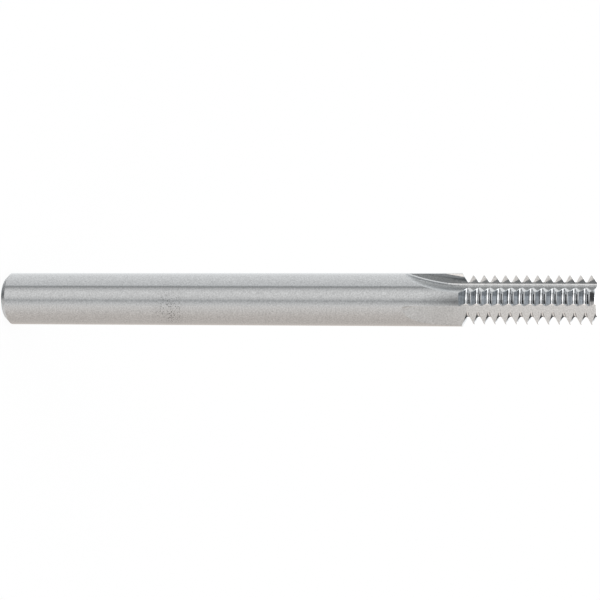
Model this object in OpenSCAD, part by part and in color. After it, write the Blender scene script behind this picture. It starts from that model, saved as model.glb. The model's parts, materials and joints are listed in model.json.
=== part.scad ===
// Solid carbide thread mill that stands on its shank end, with its axis on Z and its tip up.
// All sizes are in millimetres.

/* [Shank] */
// diameter of the ground shank
shank_d = 7.9375; // [7.6:0.0005:10]
// length from the shank end to the tip face
overall_l = 91.4; // [70:0.1:120]
// height of the 45 degree chamfer at the shank end
end_chamfer = 0.8; // [0.2:0.05:1.5]

/* [Ring teeth] */
// diameter over the cutting edges at the tooth crests
cut_d = 7.37; // [6.8:0.01:7.6]
// distance from one ring tooth to the next
pitch = 1.5875; // [1.4:0.0005:1.8]
// number of ring teeth, each with its own groove behind it
teeth = 12; // [6:1:16]
// angle between the two flanks of a tooth
form_angle = 60; // [55:1:62]
// width of the flat along a tooth crest
crest_flat = 0.16; // [0.08:0.01:0.3]
// radius in the root between two teeth
root_r = 0.2; // [0.12:0.01:0.26]
// angle by which each land falls away behind its cutting edge
relief_angle = 4; // [2:0.5:6]

/* [Flutes] */
// number of straight flutes round the axis
flutes = 4; // [3:1:4]
// angle by which the rake face leans in from the radius at the cutting edge
rake_angle = 4; // [1:0.5:6]
// distance from the axis to the flat floor of a flute
floor_r = 2.16; // [1.9:0.02:2.3]
// radius in the corner between floor and rake face
flute_corner = 0.3; // [0.15:0.05:0.4]
// radius of the wheel that leaves the curved run-out of a flute
wheel_r = 25; // [15:1:40]
// full depth of a flute past the ring groove next to the shank
flute_past = 0.1; // [0:0.05:3]

/* [Colour] */
// colour of the ground carbide
carbide = [0.60, 0.61, 0.63];

/* [Hidden] */
shank_r = shank_d / 2;
cut_r = cut_d / 2;
half_form = form_angle / 2;
cut_l = teeth * pitch;
flank_run = pitch / 2 - crest_flat / 2 - root_r * cos(half_form);
tooth_h = flank_run / tan(half_form) + root_r * (1 - sin(half_form));
relief_offset = cut_r * tan(relief_angle);
form_r = cut_r / cos(relief_angle);
form_root_r = form_r - tooth_h;
rake_offset = cut_r * sin(rake_angle);
flute_step = 360 / flutes;
corner_meet = 12;
corner_in = flute_corner * cos(corner_meet);
clear = 1;
flute_depth = shank_r - floor_r + clear;
flute_width = shank_r + rake_offset + clear;
run_out_turn = acos(1 - flute_depth / wheel_r) + 8;
gap_turn = 14;
gap_overlap = 3;

// outline of the bare rod, from the shank end to the tip
module rod_outline() {
    polygon([
        [0, 0],
        [shank_r - end_chamfer, 0],
        [shank_r, end_chamfer],
        [shank_r, overall_l],
        [0, overall_l]
    ]);
}

// one groove between two ring teeth, open to the outside and round in its root
module groove_outline(z) {
    mouth_r = form_r + clear + relief_offset;
    touch_r = form_root_r + root_r * (1 - sin(half_form));
    touch_z = root_r * cos(half_form);
    mouth_z = touch_z + (mouth_r - touch_r) * tan(half_form);
    translate([0, z]) {
        polygon([
            [touch_r, -touch_z],
            [mouth_r, -mouth_z],
            [mouth_r, mouth_z],
            [touch_r, touch_z]
        ]);
        translate([form_root_r + root_r, 0])
            circle(r = root_r, $fn = 48);
    }
}

// all grooves of the thread head with the ring that brings the crests to their size
module head_cut_outline() {
    for (i = [0 : teeth])
        groove_outline(overall_l - i * pitch);
    translate([form_r, overall_l - cut_l])
        square([clear + relief_offset, cut_l + pitch]);
}

// form ground into one land, about an axis set to one side so that the land falls away
module land_cut() {
    rotate([0, 0, -rake_angle])
        translate([0, relief_offset, 0])
            rotate([0, 0, gap_turn + gap_overlap + rake_angle - flute_step])
                rotate_extrude(angle = flute_step, $fn = 144)
                    head_cut_outline();
}

// section of a flute: flat floor along Y, flat rake face along X, round corner between them
module flute_section() {
    translate([0, -rake_offset])
        difference() {
            square([flute_depth, flute_width]);
            difference() {
                square(corner_in);
                translate([corner_in, corner_in])
                    circle(r = flute_corner, $fn = 48);
            }
        }
}

// one flute: straight along the thread head, then out through the shank on the wheel's radius
module flute_cut() {
    z0 = overall_l - cut_l - flute_past;
    translate([floor_r, 0, z0])
        linear_extrude(height = cut_l + flute_past + clear)
            flute_section();
    translate([floor_r + wheel_r, 0, z0])
        rotate(a = 180, v = [0, 1, 1])
            rotate([0, 0, -run_out_turn])
                rotate_extrude(angle = run_out_turn, $fn = 288)
                    translate([wheel_r, 0])
                        mirror([1, 0])
                            flute_section();
}

// the whole tool, ground from one rod
module thread_mill() {
    color(carbide)
        difference() {
            rotate_extrude($fn = 144)
                rod_outline();
            for (k = [0 : flutes - 1])
                rotate([0, 0, k * flute_step])
                    flute_cut();
            for (k = [0 : flutes - 1])
                rotate([0, 0, k * flute_step])
                    land_cut();
        }
}

thread_mill();
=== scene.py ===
import json
import math

import bpy
from mathutils import Matrix, Vector


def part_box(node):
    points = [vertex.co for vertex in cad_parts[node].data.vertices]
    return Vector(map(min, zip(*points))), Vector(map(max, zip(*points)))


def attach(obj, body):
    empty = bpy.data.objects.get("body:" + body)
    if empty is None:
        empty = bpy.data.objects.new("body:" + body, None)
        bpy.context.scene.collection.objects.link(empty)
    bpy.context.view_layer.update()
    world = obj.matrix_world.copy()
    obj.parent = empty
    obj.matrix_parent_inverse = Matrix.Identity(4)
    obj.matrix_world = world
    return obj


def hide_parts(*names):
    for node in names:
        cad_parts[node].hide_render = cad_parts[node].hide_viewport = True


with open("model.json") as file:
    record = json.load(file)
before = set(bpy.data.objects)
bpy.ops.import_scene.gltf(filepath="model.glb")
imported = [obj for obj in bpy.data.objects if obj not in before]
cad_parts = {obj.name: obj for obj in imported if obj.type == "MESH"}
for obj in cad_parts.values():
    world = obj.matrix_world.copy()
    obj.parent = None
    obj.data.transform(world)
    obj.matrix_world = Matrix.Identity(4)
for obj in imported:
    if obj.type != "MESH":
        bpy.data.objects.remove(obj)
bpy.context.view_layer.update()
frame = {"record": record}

# The blank: one round carbide rod, centreless ground to the shank size.
# Its foot is squared off and chamfered all round so that it slides into a collet.
blank_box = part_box("thread_mill")
tool_length = blank_box[1][2]
shank_radius = frame["record"]["mounts"][0]["dims"]["r_mm"] / 1000
foot_chamfer = 0.0008
bpy.ops.object.select_all(action="DESELECT")
bpy.ops.mesh.primitive_circle_add(
    vertices=360, radius=shank_radius - foot_chamfer, fill_type="NGON")
mill = bpy.context.object
mill.name = "thread_mill_body"
bpy.ops.object.mode_set(mode="EDIT")
bpy.ops.mesh.select_all(action="SELECT")
bpy.ops.mesh.extrude_region_move(
    TRANSFORM_OT_translate={"value": (0, 0, foot_chamfer)})
chamfer_growth = shank_radius / (shank_radius - foot_chamfer)
bpy.ops.transform.resize(
    value=(chamfer_growth, chamfer_growth, 1), center_override=(0, 0, foot_chamfer))
bpy.ops.mesh.extrude_region_move(
    TRANSFORM_OT_translate={"value": (0, 0, tool_length - foot_chamfer)})
bpy.ops.mesh.select_all(action="SELECT")
bpy.ops.mesh.normals_make_consistent(inside=False)
bpy.ops.object.mode_set(mode="OBJECT")

# The flutes: four straight slots ground with a square wheel, floor and rake face at right angles.
# Each runs at full depth along the teeth and then climbs out of the shank on the wheel's radius.
thread_pitch = 0.0015875
ring_teeth = 12
head_length = ring_teeth * thread_pitch
cutting_radius = 0.007370 / 2
rake_lean = math.radians(4)
rake_set = cutting_radius * math.sin(rake_lean)
flute_floor = 0.00216
flute_corner = 0.0003
wheel_radius = 0.025
flute_past = 0.0001
flute_end = tool_length - head_length - flute_past
flute_mouth = 0.0028
flute_reach = 0.0052
corner_steps = 12
past_tip = 0.001
past_skin = math.radians(6)
wheel_turn = math.acos(1 - flute_mouth / wheel_radius) + past_skin
weld_gap = 1e-7


def trace_outline(name, start, moves):
    """Draws a closed flat outline by pushing one point along, and fills it."""
    bpy.ops.object.select_all(action="DESELECT")
    bpy.ops.mesh.primitive_plane_add(size=0.001, location=(0, 0, 0))
    outline = bpy.context.object
    outline.name = name
    bpy.ops.object.mode_set(mode="EDIT")
    bpy.ops.mesh.select_all(action="SELECT")
    bpy.ops.mesh.merge(type="CENTER")
    bpy.ops.transform.translate(value=start)
    for move in moves:
        bpy.ops.mesh.extrude_region_move(TRANSFORM_OT_translate={"value": move})
    bpy.ops.mesh.select_all(action="SELECT")
    bpy.ops.mesh.edge_face_add()
    bpy.ops.mesh.select_all(action="SELECT")
    return outline


def close_up(gap):
    """Welds the doubled points of the shape being edited, faces it outward and ends the edit."""
    bpy.ops.mesh.select_all(action="SELECT")
    bpy.ops.mesh.remove_doubles(threshold=gap)
    bpy.ops.mesh.normals_make_consistent(inside=False)
    bpy.ops.object.mode_set(mode="OBJECT")


def pick(piece):
    """Selects one piece alone and makes it the active one."""
    bpy.ops.object.select_all(action="DESELECT")
    piece.select_set(True)
    bpy.context.view_layer.objects.active = piece


def repeat_round_axis(piece):
    """Puts three turned copies beside a cutter, a quarter turn apart, and joins them to it."""
    copies = []
    for quarter in (1, 2, 3):
        pick(piece)
        bpy.ops.object.duplicate()
        copy = bpy.context.object
        copy.data.transform(Matrix.Rotation(quarter * math.pi / 2, 4, "Z"))
        copies.append(copy)
    pick(piece)
    for copy in copies:
        copy.select_set(True)
    bpy.ops.object.join()
    return piece


def grind_away(cutter):
    """Takes a cutter's shape out of the tool and removes the cutter."""
    pick(mill)
    cut = mill.modifiers.new("grind", "BOOLEAN")
    cut.operation = "DIFFERENCE"
    cut.solver = "EXACT"
    cut.object = cutter
    bpy.ops.object.modifier_apply(modifier=cut.name)
    bpy.data.objects.remove(cutter)


corner_points = []
for step in range(corner_steps + 1):
    turn = math.radians(180 + 90 * step / corner_steps)
    corner_points.append(Vector((
        flute_floor + flute_corner * (1 + math.cos(turn)),
        flute_corner * (1 + math.sin(turn)) - rake_set, 0)))
flute_points = corner_points + [
    Vector((flute_floor + flute_mouth, -rake_set, 0)),
    Vector((flute_floor + flute_mouth, flute_reach, 0)),
    Vector((flute_floor, flute_reach, 0))]
flute_moves = [after - before for before, after in zip(flute_points, flute_points[1:])]
flute_start = flute_points[0] + Vector((0, 0, tool_length + past_tip))
flute_wheel = trace_outline("flute_wheel", flute_start, flute_moves)
bpy.ops.mesh.extrude_region_move(
    TRANSFORM_OT_translate={"value": (0, 0, flute_end - tool_length - past_tip)})
bpy.ops.mesh.spin(
    steps=48, angle=wheel_turn, center=(flute_floor + wheel_radius, 0, flute_end), axis=(0, 1, 0))
close_up(weld_gap)
grind_away(repeat_round_axis(flute_wheel))

# The ring teeth: separate sharp rings with no lead, ground round all four lands.
# Every land is ground about an axis set to one side, so it falls away behind its cutting edge.
crest_flat = 0.00016
root_radius = 0.0002
half_form = math.radians(30)
land_relief = math.radians(4)
land_turn = math.radians(80)
heel_turn = math.radians(14)
relief_set = cutting_radius * math.tan(land_relief)
form_radius = cutting_radius / math.cos(land_relief)
flank_width = thread_pitch / 2 - crest_flat / 2 - root_radius * math.cos(half_form)
flank_height = flank_width / math.tan(half_form)
shoulder_rise = 0.0013
mouth_radius = form_radius + shoulder_rise
root_steps = 12
root_turn = math.pi / 2 - half_form
root_turns = [root_turn * (2 * step / root_steps - 1) for step in range(root_steps + 1)]
root_moves = [
    root_radius * Vector((math.cos(before) - math.cos(after), 0, math.sin(after) - math.sin(before)))
    for before, after in zip(root_turns, root_turns[1:])]
flank_in = Vector((-flank_height, 0, flank_width))
flank_out = Vector((flank_height, 0, flank_width))
shoulder_in = flank_in + Vector((-shoulder_rise, 0, shoulder_rise * math.tan(half_form)))
one_tooth = [flank_out, Vector((0, 0, crest_flat)), flank_in] + root_moves
ring_moves = [shoulder_in] + root_moves + ring_teeth * one_tooth
ring_moves += [Vector((0, 0, past_tip)), Vector((shoulder_rise + flank_height, 0, 0))]
ring_start = Vector((
    mouth_radius, 0,
    tool_length - head_length - root_radius * math.cos(half_form) - shoulder_in.z))
ring_wheel = trace_outline("ring_wheel", ring_start, ring_moves)
bpy.ops.mesh.spin(steps=56, angle=land_turn, center=(0, 0, 0), axis=(0, 0, 1))
close_up(weld_gap)
spun = [math.atan2(point.co.y, point.co.x) for point in ring_wheel.data.vertices]
ring_wheel.data.transform(Matrix.Rotation(heel_turn - max(spun), 4, "Z"))
ring_wheel.data.transform(Matrix.Translation((0, relief_set, 0)))
ring_wheel.data.transform(Matrix.Rotation(-rake_lean, 4, "Z"))
grind_away(repeat_round_axis(ring_wheel))

pick(mill)
bpy.ops.object.mode_set(mode="EDIT")
close_up(2 * weld_gap)
bpy.ops.object.shade_smooth_by_angle(angle=math.radians(22))
even = mill.modifiers.new("even_shading", "WEIGHTED_NORMAL")
even.keep_sharp = True
even.weight = 100
bpy.ops.object.modifier_apply(modifier=even.name)
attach(mill, "root")
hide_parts("thread_mill")

# The shank finish: bare fine-grain carbide, not coated, ground bright between two wheels.
# It has fine marks round it and a small patch near the foot that is scuffed to dark specks.
# Next to the head, each land has painted shade behind its cutting edge, darker towards the head.
grain_group = bpy.data.node_groups.new("ground_grain", "ShaderNodeTree")
grain_sockets = {"Size": "NodeSocketFloat", "Spread": "NodeSocketFloat", "Tint": "NodeSocketColor"}
for socket, kind in grain_sockets.items():
    grain_group.interface.new_socket(socket, in_out="INPUT", socket_type=kind)
grain_group.interface.new_socket("Color", in_out="OUTPUT", socket_type="NodeSocketColor")
grain_in = grain_group.nodes.new("NodeGroupInput")
grain_out = grain_group.nodes.new("NodeGroupOutput")
grain_place = grain_group.nodes.new("ShaderNodeTexCoord")
grain_noise = grain_group.nodes.new("ShaderNodeTexNoise")
grain_noise.inputs["Detail"].default_value = 2.0
grain_noise.inputs["Roughness"].default_value = 0.6
grain_centre = grain_group.nodes.new("ShaderNodeMath")
grain_centre.operation = "SUBTRACT"
grain_centre.inputs[1].default_value = 0.5
grain_level = grain_group.nodes.new("ShaderNodeMath")
grain_level.operation = "MULTIPLY_ADD"
grain_level.inputs[2].default_value = 1.0
grain_tone = grain_group.nodes.new("ShaderNodeVectorMath")
grain_tone.operation = "SCALE"
grain_group.links.new(grain_place.outputs["Object"], grain_noise.inputs["Vector"])
grain_group.links.new(grain_in.outputs["Size"], grain_noise.inputs["Scale"])
grain_group.links.new(grain_noise.outputs["Fac"], grain_centre.inputs[0])
grain_group.links.new(grain_centre.outputs[0], grain_level.inputs[0])
grain_group.links.new(grain_in.outputs["Spread"], grain_level.inputs[1])
grain_group.links.new(grain_in.outputs["Tint"], grain_tone.inputs[0])
grain_group.links.new(grain_level.outputs[0], grain_tone.inputs["Scale"])
grain_group.links.new(grain_tone.outputs["Vector"], grain_out.inputs["Color"])


def add_ramp(tree, source, stops):
    """Adds a colour ramp that reads one value, from pairs of place and colour."""
    ramp = tree.nodes.new("ShaderNodeValToRGB")
    marks = ramp.color_ramp.elements
    marks.remove(marks[1])
    marks[0].position, marks[0].color = stops[0]
    for position, color in stops[1:]:
        marks.new(position).color = color
    tree.links.new(source, ramp.inputs["Fac"])
    return ramp.outputs["Color"]


carbide_tint = (0.563, 0.578, 0.588, 1)
scuff_tint = (0.12, 0.12, 0.12, 1)
head_roughness = 0.045
head_start = tool_length - head_length
head_fade = 0.0004
land_shade_start = head_start - 0.0066
land_shade_full = head_start - 0.0012
land_shade_share = 0.37
lands = 4
carbide = bpy.data.materials.new("ground_carbide")
carbide.use_nodes = True
nodes = carbide.node_tree.nodes
links = carbide.node_tree.links
skin = nodes["Principled BSDF"]
skin.inputs["Metallic"].default_value = 1.0
place = nodes.new("ShaderNodeTexCoord")
grain = nodes.new("ShaderNodeGroup")
grain.name = "grain"
grain.node_tree = grain_group
grain.inputs["Size"].default_value = 4300
grain.inputs["Spread"].default_value = 0.85
grain.inputs["Tint"].default_value = carbide_tint
scuff_place = nodes.new("ShaderNodeMapping")
scuff_place.inputs["Scale"].default_value = (230, 230, 330)
scuff_place.inputs["Location"].default_value = (-0.1, 0.91, -8.95)
links.new(place.outputs["Object"], scuff_place.inputs["Vector"])
scuff_patch = nodes.new("ShaderNodeTexGradient")
scuff_patch.gradient_type = "SPHERICAL"
links.new(scuff_place.outputs["Vector"], scuff_patch.inputs["Vector"])
speck_noise = nodes.new("ShaderNodeTexNoise")
speck_noise.inputs["Scale"].default_value = 5000
speck_noise.inputs["Detail"].default_value = 1.0
links.new(place.outputs["Object"], speck_noise.inputs["Vector"])
specks = nodes.new("ShaderNodeMapRange")
specks.inputs["From Min"].default_value = 0.54
specks.inputs["From Max"].default_value = 0.68
links.new(speck_noise.outputs["Fac"], specks.inputs["Value"])
scuff = nodes.new("ShaderNodeMath")
scuff.operation = "MULTIPLY"
links.new(scuff_patch.outputs["Fac"], scuff.inputs[0])
links.new(specks.outputs["Result"], scuff.inputs[1])
scuffed = nodes.new("ShaderNodeMix")
scuffed.data_type = "RGBA"
scuffed.inputs[7].default_value = scuff_tint
links.new(scuff.outputs[0], scuffed.inputs[0])
links.new(grain.outputs["Color"], scuffed.inputs[6])
ring_marks = nodes.new("ShaderNodeMapping")
ring_marks.name = "ring_marks"
ring_marks.inputs["Scale"].default_value = (220, 220, 16000)
links.new(place.outputs["Object"], ring_marks.inputs["Vector"])
mark_noise = nodes.new("ShaderNodeTexNoise")
mark_noise.name = "mark_noise"
mark_noise.inputs["Scale"].default_value = 1.0
mark_noise.inputs["Detail"].default_value = 3.0
links.new(ring_marks.outputs["Vector"], mark_noise.inputs["Vector"])
axes = nodes.new("ShaderNodeSeparateXYZ")
links.new(place.outputs["Object"], axes.inputs["Vector"])
on_shank = nodes.new("ShaderNodeMapRange")
on_shank.inputs["From Min"].default_value = head_start
on_shank.inputs["From Max"].default_value = head_start - head_fade
links.new(axes.outputs["Z"], on_shank.inputs["Value"])
# Painted shade on each land next to the head, just behind its cutting edge.
land_angle = nodes.new("ShaderNodeMath")
land_angle.operation = "ARCTAN2"
links.new(axes.outputs["Y"], land_angle.inputs[0])
links.new(axes.outputs["X"], land_angle.inputs[1])
land_count = nodes.new("ShaderNodeMapRange")
land_count.inputs["From Min"].default_value = -math.pi
land_count.inputs["From Max"].default_value = math.pi
land_count.inputs["To Max"].default_value = lands
links.new(land_angle.outputs[0], land_count.inputs["Value"])
land_share = nodes.new("ShaderNodeMath")
land_share.operation = "FRACT"
links.new(land_count.outputs["Result"], land_share.inputs[0])
land_shade_across = add_ramp(carbide.node_tree, land_share.outputs[0], [
    (share, (shade_weight, shade_weight, shade_weight, 1))
    for share, shade_weight in ((0, 0), (0.56, 0), (0.76, 1), (0.93, 1), (0.965, 0))])
land_shade_along = nodes.new("ShaderNodeMapRange")
land_shade_along.inputs["From Min"].default_value = land_shade_start
land_shade_along.inputs["From Max"].default_value = land_shade_full
land_shade_along.inputs["To Max"].default_value = land_shade_share
links.new(axes.outputs["Z"], land_shade_along.inputs["Value"])
land_shade_mask = nodes.new("ShaderNodeMath")
land_shade_mask.operation = "MULTIPLY"
links.new(land_shade_along.outputs["Result"], land_shade_mask.inputs[0])
links.new(on_shank.outputs["Result"], land_shade_mask.inputs[1])
land_painted_shade = nodes.new("ShaderNodeMath")
land_painted_shade.operation = "MULTIPLY"
links.new(land_shade_across, land_painted_shade.inputs[0])
links.new(land_shade_mask.outputs[0], land_painted_shade.inputs[1])
land_shade_level = nodes.new("ShaderNodeMath")
land_shade_level.operation = "SUBTRACT"
land_shade_level.inputs[0].default_value = 1.0
links.new(land_painted_shade.outputs[0], land_shade_level.inputs[1])
land_shaded = nodes.new("ShaderNodeVectorMath")
land_shaded.operation = "SCALE"
links.new(scuffed.outputs[2], land_shaded.inputs[0])
links.new(land_shade_level.outputs[0], land_shaded.inputs["Scale"])
links.new(land_shaded.outputs["Vector"], skin.inputs["Base Color"])
shank_roughness = nodes.new("ShaderNodeMapRange")
shank_roughness.inputs["To Min"].default_value = 0.07
shank_roughness.inputs["To Max"].default_value = 0.12
links.new(mark_noise.outputs["Fac"], shank_roughness.inputs["Value"])
sheen = nodes.new("ShaderNodeMix")
sheen.inputs[2].default_value = head_roughness
links.new(on_shank.outputs["Result"], sheen.inputs[0])
links.new(shank_roughness.outputs["Result"], sheen.inputs[3])
links.new(sheen.outputs[0], skin.inputs["Roughness"])
scratch_depth = nodes.new("ShaderNodeMath")
scratch_depth.operation = "MULTIPLY"
links.new(mark_noise.outputs["Fac"], scratch_depth.inputs[0])
links.new(on_shank.outputs["Result"], scratch_depth.inputs[1])
scratch = nodes.new("ShaderNodeBump")
scratch.inputs["Strength"].default_value = 0.05
scratch.inputs["Distance"].default_value = 0.00002
links.new(scratch_depth.outputs[0], scratch.inputs["Height"])
links.new(scratch.outputs["Normal"], skin.inputs["Normal"])

# The flute finish: the same carbide, left duller and grainier by the coarser fluting wheel.
# The floors are a touch hollow from the wheel's wear, and the round corners carry a painted
# highlight.
flute_tint = (0.565, 0.575, 0.578, 1)
# The corner tint is much lighter than the flute's: a painted highlight on the round corners.
corner_highlight_tint = (0.84, 0.84, 0.835, 1)
flute_sag = 0.0001
fold_start = math.radians(-10)
flute_carbide = bpy.data.materials.new("fluted_carbide")
flute_carbide.use_nodes = True
flute_nodes = flute_carbide.node_tree.nodes
flute_links = flute_carbide.node_tree.links
flute_skin = flute_nodes["Principled BSDF"]
flute_skin.inputs["Metallic"].default_value = 1.0
flute_skin.inputs["Roughness"].default_value = 0.11
flute_grain = flute_nodes.new("ShaderNodeGroup")
flute_grain.name = "grain"
flute_grain.node_tree = grain_group
flute_grain.inputs["Size"].default_value = 4600
flute_grain.inputs["Spread"].default_value = 0.9
flute_grain.inputs["Tint"].default_value = flute_tint
flute_links.new(flute_grain.outputs["Color"], flute_skin.inputs["Base Color"])
flute_place = flute_nodes.new("ShaderNodeTexCoord")
flute_place.name = "place"
flute_axes = flute_nodes.new("ShaderNodeSeparateXYZ")
flute_angle = flute_nodes.new("ShaderNodeMath")
flute_angle.operation = "ARCTAN2"
flute_fold = flute_nodes.new("ShaderNodeMath")
flute_fold.operation = "WRAP"
flute_fold.inputs[1].default_value = fold_start + math.pi / 2
flute_fold.inputs[2].default_value = fold_start
flute_across = flute_nodes.new("ShaderNodeMath")
flute_across.operation = "TANGENT"
flute_square = flute_nodes.new("ShaderNodeMath")
flute_square.operation = "POWER"
flute_square.inputs[1].default_value = 2.0
flute_hollow = flute_nodes.new("ShaderNodeBump")
flute_hollow.invert = True
flute_hollow.inputs["Strength"].default_value = 1.0
flute_hollow.inputs["Distance"].default_value = flute_sag
flute_links.new(flute_place.outputs["Object"], flute_axes.inputs["Vector"])
flute_links.new(flute_axes.outputs["Y"], flute_angle.inputs[0])
flute_links.new(flute_axes.outputs["X"], flute_angle.inputs[1])
flute_links.new(flute_angle.outputs[0], flute_fold.inputs[0])
flute_links.new(flute_fold.outputs[0], flute_across.inputs[0])
flute_links.new(flute_across.outputs[0], flute_square.inputs[0])
flute_links.new(flute_square.outputs[0], flute_hollow.inputs["Height"])
flute_links.new(flute_hollow.outputs["Normal"], flute_skin.inputs["Normal"])


def refinish(finish, name, tint):
    """Copies a finish under a new name and gives its grain another tint."""
    other = finish.copy()
    other.name = name
    other.node_tree.nodes["grain"].inputs["Tint"].default_value = tint
    return other


# The corners' finish: the flute finish with a painted highlight.
corner_highlight_carbide = refinish(flute_carbide, "corner_painted_highlight", corner_highlight_tint)

# The run-outs: where the fluting wheel climbs out of the shank, it leaves the floor softer.
# The wall has painted shade: its own tint beside the floor and darker towards the outside of the
# shank.
# The top corner of the wall, next to the cutting edge, has a painted highlight.
run_tint = (0.535, 0.545, 0.548, 1)
run_roughness = 0.28
wall_own_tint = (0.55, 0.56, 0.563, 1)
# The dark tint is painted shade on the wall, and the facet tint a painted highlight.
wall_shade_tint = (0.225, 0.245, 0.262, 1)
wall_highlight_tint = (0.86, 0.86, 0.855, 1)
wall_slant = 0.18
wall_base = wall_slant * flute_end
wall_shade_start = 0.0026
wall_shade_full = 0.0029
wall_highlight_start = 0.00335
wall_highlight_full = 0.00340
run_carbide = refinish(flute_carbide, "run_out_floor", run_tint)
run_carbide.node_tree.nodes["Principled BSDF"].inputs["Roughness"].default_value = run_roughness
wall_carbide = refinish(flute_carbide, "run_out_wall", flute_tint)
wall_nodes = wall_carbide.node_tree.nodes
wall_links = wall_carbide.node_tree.links
wall_place = wall_nodes["place"]
wall_level = wall_nodes.new("ShaderNodeVectorMath")
wall_level.operation = "MULTIPLY"
wall_level.inputs[1].default_value = (1, 1, 0)
wall_out = wall_nodes.new("ShaderNodeVectorMath")
wall_out.operation = "LENGTH"
wall_along = wall_nodes.new("ShaderNodeSeparateXYZ")
wall_line = wall_nodes.new("ShaderNodeMath")
wall_line.operation = "MULTIPLY_ADD"
wall_line.inputs[1].default_value = wall_slant
wall_painted_shade = wall_nodes.new("ShaderNodeMapRange")
wall_painted_shade.inputs["From Min"].default_value = wall_shade_start + wall_base
wall_painted_shade.inputs["From Max"].default_value = wall_shade_full + wall_base
wall_shaded_tint = wall_nodes.new("ShaderNodeMix")
wall_shaded_tint.data_type = "RGBA"
wall_shaded_tint.inputs[6].default_value = wall_own_tint
wall_shaded_tint.inputs[7].default_value = wall_shade_tint
wall_painted_highlight = wall_nodes.new("ShaderNodeMapRange")
wall_painted_highlight.inputs["From Min"].default_value = wall_highlight_start + wall_base
wall_painted_highlight.inputs["From Max"].default_value = wall_highlight_full + wall_base
wall_shade_and_highlight = wall_nodes.new("ShaderNodeMix")
wall_shade_and_highlight.data_type = "RGBA"
wall_shade_and_highlight.inputs[7].default_value = wall_highlight_tint
wall_links.new(wall_place.outputs["Object"], wall_level.inputs[0])
wall_links.new(wall_level.outputs["Vector"], wall_out.inputs[0])
wall_links.new(wall_place.outputs["Object"], wall_along.inputs["Vector"])
wall_links.new(wall_along.outputs["Z"], wall_line.inputs[0])
wall_links.new(wall_out.outputs["Value"], wall_line.inputs[2])
wall_links.new(wall_line.outputs[0], wall_painted_shade.inputs["Value"])
wall_links.new(wall_painted_shade.outputs["Result"], wall_shaded_tint.inputs[0])
wall_links.new(wall_line.outputs[0], wall_painted_highlight.inputs["Value"])
wall_links.new(wall_painted_highlight.outputs["Result"], wall_shade_and_highlight.inputs[0])
wall_links.new(wall_shaded_tint.outputs[2], wall_shade_and_highlight.inputs[6])
wall_links.new(wall_shade_and_highlight.outputs[2], wall_nodes["grain"].inputs["Tint"])

# The tooth finish: the form wheel leaves the flanks duller, with streaks that run round the tool.
# The roots carry a painted highlight, and the flanks and root halves that face the foot carry painted
# shade.
flank_tint = (0.50, 0.51, 0.52, 1)
# The dull tint is painted shade and the root tint a painted highlight.
flank_shade_tint = (0.22, 0.225, 0.232, 1)
root_highlight_tint = (0.92, 0.93, 0.935, 1)
root_highlight_carbide = refinish(carbide, "root_painted_highlight", root_highlight_tint)
flank_carbide = refinish(carbide, "form_ground_flank", flank_tint)
flank_nodes = flank_carbide.node_tree.nodes
flank_links = flank_carbide.node_tree.links
flank_nodes["ring_marks"].inputs["Scale"].default_value = (150, 150, 6500)
flank_streak = flank_nodes.new("ShaderNodeMapRange")
flank_streak.inputs["From Min"].default_value = 0.35
flank_streak.inputs["From Max"].default_value = 0.65
flank_streak.inputs["To Min"].default_value = 0.78
flank_streak.inputs["To Max"].default_value = 1.24
flank_tone = flank_nodes.new("ShaderNodeVectorMath")
flank_tone.operation = "SCALE"
flank_links.new(flank_nodes["mark_noise"].outputs["Fac"], flank_streak.inputs["Value"])
flank_links.new(flank_streak.outputs["Result"], flank_tone.inputs["Scale"])
flank_links.new(flank_nodes["grain"].outputs["Color"], flank_tone.inputs[0])
flank_links.new(flank_tone.outputs["Vector"], flank_nodes["Principled BSDF"].inputs["Base Color"])
flank_shade_carbide = refinish(flank_carbide, "flank_painted_shade", flank_shade_tint)

# The foot chamfer: ground on the end of the rod with a coarse wheel, and not polished after.
# It has the grain and the tint of the shank, and spreads the light more.
chamfer_roughness = 0.3
chamfer_carbide = refinish(carbide, "ground_chamfer", carbide_tint)
chamfer_skin = chamfer_carbide.node_tree.nodes["Principled BSDF"]
chamfer_carbide.node_tree.links.remove(chamfer_skin.inputs["Roughness"].links[0])
chamfer_skin.inputs["Roughness"].default_value = chamfer_roughness

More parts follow.
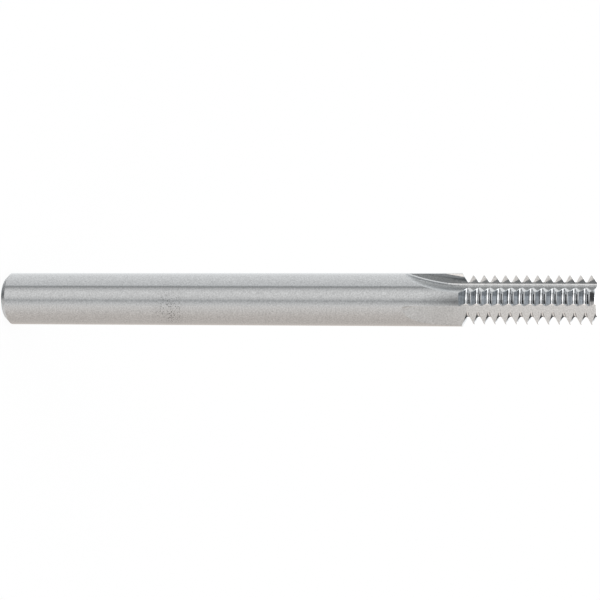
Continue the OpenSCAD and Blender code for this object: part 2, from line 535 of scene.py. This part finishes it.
# The ground faces: each face of the tool takes the finish of the wheel that made it, and some take a
# painted highlight or painted shade.
# They are told apart by how they face and by how deep they lie.
lined_up = 0.999
under_skin = 0.998 * shank_radius
flank_rise = math.cos(half_form)
flank_spread = 0.025
root_depth = 0.0006
root_lean = -0.35
finishes = [
    carbide, flute_carbide, corner_highlight_carbide, flank_carbide, root_highlight_carbide,
    wall_carbide, chamfer_carbide, run_carbide, flank_shade_carbide]
mill.data.materials.clear()
for finish in finishes:
    mill.data.materials.append(finish)
for face in mill.data.polygons:
    sideways = math.hypot(face.normal.x, face.normal.y)
    reach = math.hypot(face.center.x, face.center.y)
    squared = max(abs(face.normal.x), abs(face.normal.y)) > lined_up * sideways
    from_axis = abs(face.center.x * face.normal.x + face.center.y * face.normal.y)
    corner_in, corner_out = sorted((abs(face.center.x), abs(face.center.y)))
    in_corner = corner_in < rake_set and flute_floor < corner_out < flute_floor + flute_corner
    finish = carbide
    if face.center.z < foot_chamfer and 0.1 < sideways < 0.9:
        finish = chamfer_carbide
    elif squared and reach < under_skin and sideways > 0.5:
        if face.center.z >= flute_end:
            finish = flute_carbide
        elif from_axis < 2 * rake_set:
            finish = wall_carbide
        else:
            finish = run_carbide
    # Round flute corners take the painted highlight.
    elif in_corner and not squared:
        finish = corner_highlight_carbide
    elif face.center.z > head_start - root_depth:
        # Flanks that face the foot take painted shade; roots take a painted highlight, with painted
        # shade on the half that faces the foot.
        if abs(abs(face.normal.z) - flank_rise) < flank_spread:
            finish = flank_carbide if face.normal.z > 0 else flank_shade_carbide
        elif reach < cutting_radius - root_depth:
            finish = root_highlight_carbide if face.normal.z > root_lean else flank_shade_carbide
    face.material_index = finishes.index(finish)

# The camera: level with the tool, a little towards its tip, turned so that the tool lies across.
# One land faces it, with its cutting edge below the middle and its heel above.
view_azimuth = math.radians(-18.5)
view_elevation = math.radians(14.19)
view_roll = math.radians(0.155)
view_distance = 0.400
aim_height = 0.04651
aim_drop = 0.000113
picture_width = 600
sensor_width = 36
view_pixels = 2662
back = Vector((
    math.sin(view_azimuth) * math.cos(view_elevation),
    -math.cos(view_azimuth) * math.cos(view_elevation),
    math.sin(view_elevation)))
across = (Vector((0, 0, 1)) - back * back.z).normalized()
upward = back.cross(across)
roll = Matrix.Rotation(view_roll, 3, back)
across = roll @ across
upward = roll @ upward
aim = Vector((0, 0, aim_height)) - upward * aim_drop
camera_data = bpy.data.cameras.new("camera")
camera_data.lens = view_pixels * sensor_width / picture_width
camera_data.sensor_width = sensor_width
camera_data.clip_start = 0.01
camera = bpy.data.objects.new("camera", camera_data)
bpy.context.collection.objects.link(camera)
camera.matrix_world = Matrix.Translation(aim + back * view_distance) @ Matrix((
    across, upward, back)).transposed().to_4x4()
bpy.context.scene.camera = camera

# The floor: a plain white sheet, which keeps the soft shadow where the tool stands.
# The shank mirrors the light tent and not the sheet.
sheet_glow_share = 0.93
bpy.ops.object.select_all(action="DESELECT")
bpy.ops.mesh.primitive_plane_add(size=12)
floor = bpy.context.object
floor.name = "floor"
floor.visible_glossy = False
paper = bpy.data.materials.new("white_sheet")
paper.use_nodes = True
floor.data.materials.append(paper)
sheet_nodes = paper.node_tree.nodes
sheet_links = paper.node_tree.links
sheet_skin = sheet_nodes["Principled BSDF"]
sheet_skin.inputs["Base Color"].default_value = (0.9, 0.9, 0.9, 1)
sheet_skin.inputs["Roughness"].default_value = 0.9
sheet_glow = sheet_nodes.new("ShaderNodeEmission")
sheet_mix = sheet_nodes.new("ShaderNodeMixShader")
sheet_path = sheet_nodes.new("ShaderNodeLightPath")
sheet_share = sheet_nodes.new("ShaderNodeMath")
sheet_share.operation = "MULTIPLY"
sheet_share.inputs[1].default_value = sheet_glow_share
sheet_links.new(sheet_path.outputs["Is Camera Ray"], sheet_share.inputs[0])
sheet_links.new(sheet_share.outputs[0], sheet_mix.inputs["Fac"])
sheet_links.new(sheet_skin.outputs["BSDF"], sheet_mix.inputs[1])
sheet_links.new(sheet_glow.outputs["Emission"], sheet_mix.inputs[2])
sheet_links.new(sheet_mix.outputs["Shader"], sheet_nodes["Material Output"].inputs["Surface"])

# The light: a tent of pale panels round the tool, seen by the metal as upright bands.
# White panels above the view and a warm one below, with dark gaps between them.
# Bright panels past the tip light the tops of the teeth, and low ones the sides that face the foot.
tent = bpy.data.worlds.new("light_tent")
tent.use_nodes = True
bpy.context.scene.world = tent
tent_nodes = tent.node_tree.nodes
tent_links = tent.node_tree.links
tent_out = tent_nodes["World Output"]
tent_light = tent_nodes["Background"]
tent_white = tent_nodes.new("ShaderNodeBackground")
tent_white.inputs["Color"].default_value = (1, 1, 1, 1)
tent_mix = tent_nodes.new("ShaderNodeMixShader")
tent_path = tent_nodes.new("ShaderNodeLightPath")
tent_place = tent_nodes.new("ShaderNodeTexCoord")
tent_axes = tent_nodes.new("ShaderNodeSeparateXYZ")
tent_turn = tent_nodes.new("ShaderNodeVectorRotate")
tent_turn.rotation_type = "Z_AXIS"
tent_turn.inputs["Angle"].default_value = math.pi / 2 - view_azimuth
tent_angle = tent_nodes.new("ShaderNodeMath")
tent_angle.operation = "ARCTAN2"
tent_share = tent_nodes.new("ShaderNodeMapRange")
tent_share.inputs["From Min"].default_value = math.pi
tent_share.inputs["From Max"].default_value = -math.pi
tent_height = tent_nodes.new("ShaderNodeMapRange")
tent_height.inputs["From Min"].default_value = -1.0
tent_height.inputs["From Max"].default_value = 1.0
tent_links.new(tent_place.outputs["Generated"], tent_turn.inputs["Vector"])
tent_links.new(tent_turn.outputs["Vector"], tent_axes.inputs["Vector"])
tent_links.new(tent_axes.outputs["Y"], tent_angle.inputs[0])
tent_links.new(tent_axes.outputs["X"], tent_angle.inputs[1])
tent_links.new(tent_angle.outputs[0], tent_share.inputs["Value"])
tent_links.new(tent_axes.outputs["Z"], tent_height.inputs["Value"])


def panel_row(panels):
    """Gives one row of panels round the tool: the turn, level and warmth of each."""
    return add_ramp(tent.node_tree, tent_share.outputs["Result"], [
        ((turn + 180) / 360, (level * warmth, level, level / warmth ** 0.8, 1))
        for turn, level, warmth in panels])


def lay_over(below, above, covers):
    """Puts one row of panels over another where the height along the tool's axis asks for it."""
    where = add_ramp(tent.node_tree, tent_height.outputs["Result"], [
        ((math.sin(math.radians(height)) + 1) / 2, (cover, cover, cover, 1))
        for height, cover in covers])
    both = tent_nodes.new("ShaderNodeMix")
    both.data_type = "RGBA"
    tent_links.new(where, both.inputs[0])
    tent_links.new(below, both.inputs[6])
    tent_links.new(above, both.inputs[7])
    return both.outputs[2]


foot_row = panel_row([
    (-180, 0.72, 1.09), (-128, 0.69, 1.09), (-97, 0.70, 1.09), (-73, 0.75, 1.08), (-53, 0.83, 1.06),
    (-34, 0.90, 1.04), (-25, 0.872, 1.02), (-16, 0.748, 1.01), (-7.4, 0.575, 1.0), (1.4, 0.80, 1.015),
    (10, 0.915, 1.02), (19, 0.955, 1.02), (28, 0.965, 1.02), (37, 0.88, 1.015), (46, 0.70, 1.01),
    (53, 0.44, 1.0), (58, 0.45, 0.99), (62, 0.83, 1.0), (76, 0.86, 1.005), (88, 0.915, 1.005),
    (100, 0.968, 1.005), (115, 1.0, 1.005), (134, 1.07, 1.0), (180, 1.2, 0.99)])
head_row = panel_row([
    (-180, 0.72, 1.09), (-128, 0.715, 1.10), (-97, 0.724, 1.10), (-73, 0.81, 1.07), (-53, 1.01, 1.06),
    (-30, 1.03, 1.05), (-24, 0.92, 1.03), (-17, 0.42, 1.0), (-10, 0.30, 0.99), (-3, 0.44, 0.99),
    (3, 0.58, 0.99), (11, 0.90, 1.0), (28, 0.94, 1.0), (37, 0.878, 1.0), (46, 0.65, 1.0),
    (53, 0.40, 1.0), (58, 0.42, 0.99), (62, 0.84, 0.99), (88, 0.931, 0.985),
    (100, 0.984, 0.985), (115, 1.05, 0.985), (134, 1.15, 0.99), (180, 1.2, 0.99)])
side_row = panel_row([
    (-180, 1.8, 1.0), (-163, 1.6, 1.0), (-160, 0.12, 1.0), (-140, 0.12, 1.0), (-122, 0.7, 1.05),
    (-70, 0.70, 1.08), (-38, 0.78, 1.05), (-30, 0.95, 1.02), (-23, 3.0, 0.98), (44, 3.0, 0.98),
    (58, 1.8, 0.98), (100, 1.6, 0.97), (130, 1.0, 0.98), (160, 0.9, 0.99), (172, 1.8, 1.0),
    (180, 1.8, 1.0)])
end_row = panel_row([
    (-180, 0.55, 1.03), (-165, 0.75, 1.04), (-154, 0.8, 1.03), (-146, 1.2, 1.03), (-130, 1.2, 1.03),
    (-100, 0.8, 1.03), (-60, 0.85, 1.0), (-34, 1.05, 0.96), (-18, 0.92, 0.95), (-9, 0.56, 0.95),
    (0, 0.96, 0.95), (24, 1.05, 0.95), (44, 0.84, 0.95), (54, 0.30, 0.95), (84, 0.22, 0.95),
    (94, 0.5, 0.96), (105, 0.25, 0.98), (125, 0.1, 0.98), (170, 0.1, 0.98), (180, 0.3, 1.0)])
run_row = panel_row([
    (-180, 1.8, 1.0), (-163, 1.6, 1.0), (-155, 1.1, 1.0), (-150, 0.12, 1.0), (-140, 0.12, 1.0),
    (-122, 0.7, 1.06), (-97, 0.65, 1.09), (-73, 0.70, 1.08), (-53, 0.78, 1.07), (-34, 0.86, 1.04),
    (-25, 0.86, 1.02), (-16, 0.76, 1.0), (-9, 0.62, 0.99), (-4, 0.46, 0.99), (0, 0.42, 0.99),
    (4, 0.56, 1.0), (8, 0.92, 1.0), (13, 1.4, 1.0), (28, 1.5, 1.0), (37, 1.0, 1.0),
    (46, 0.70, 1.0), (53, 0.44, 1.0), (58, 0.45, 0.99), (62, 0.84, 0.99), (100, 0.984, 0.985),
    (130, 1.0, 0.98), (160, 0.9, 0.99), (172, 1.8, 1.0), (180, 1.8, 1.0)])
base_row = panel_row([
    (-180, 0.55, 1.03), (-165, 0.75, 1.04), (-154, 0.8, 1.03), (-146, 1.2, 1.03), (-130, 1.2, 1.03),
    (-100, 0.8, 1.03), (-60, 0.85, 1.0), (-40, 2.5, 0.96), (34, 2.5, 0.95), (43, 1.4, 0.95),
    (75, 1.5, 0.95), (84, 0.22, 0.95), (94, 0.5, 0.96), (105, 0.25, 0.98), (125, 0.1, 0.98),
    (156, 0.17, 0.98), (158, 0.4, 0.98), (160, 0.9, 0.99), (163, 1.3, 0.99), (167, 1.4, 0.99),
    (169, 0.1, 0.98), (170, 0.1, 0.98), (180, 0.3, 1.0)])
low_rows = lay_over(foot_row, head_row, [(-90, 0), (-11.0, 0), (-10.2, 1), (90, 1)])
middle_rows = lay_over(low_rows, run_row, [(-90, 0), (-8, 0), (-1, 1), (90, 1)])
front_rows = lay_over(middle_rows, side_row, [(-90, 0), (22, 0), (28, 1), (90, 1)])
outer_rows = lay_over(front_rows, end_row, [
    (-90, 1), (-33, 1), (-27, 0), (53, 0), (61, 1), (90, 1)])
all_rows = lay_over(outer_rows, base_row, [
    (-90, 0), (-64, 0), (-56, 1), (-33, 1), (-27, 0), (90, 0)])
tent_links.new(all_rows, tent_light.inputs["Color"])
tent_links.new(tent_path.outputs["Is Camera Ray"], tent_mix.inputs["Fac"])
tent_links.new(tent_light.outputs["Background"], tent_mix.inputs[1])
tent_links.new(tent_white.outputs["Background"], tent_mix.inputs[2])
tent_links.new(tent_mix.outputs["Shader"], tent_out.inputs["Surface"])

bpy.context.scene.view_settings.view_transform = "Standard"
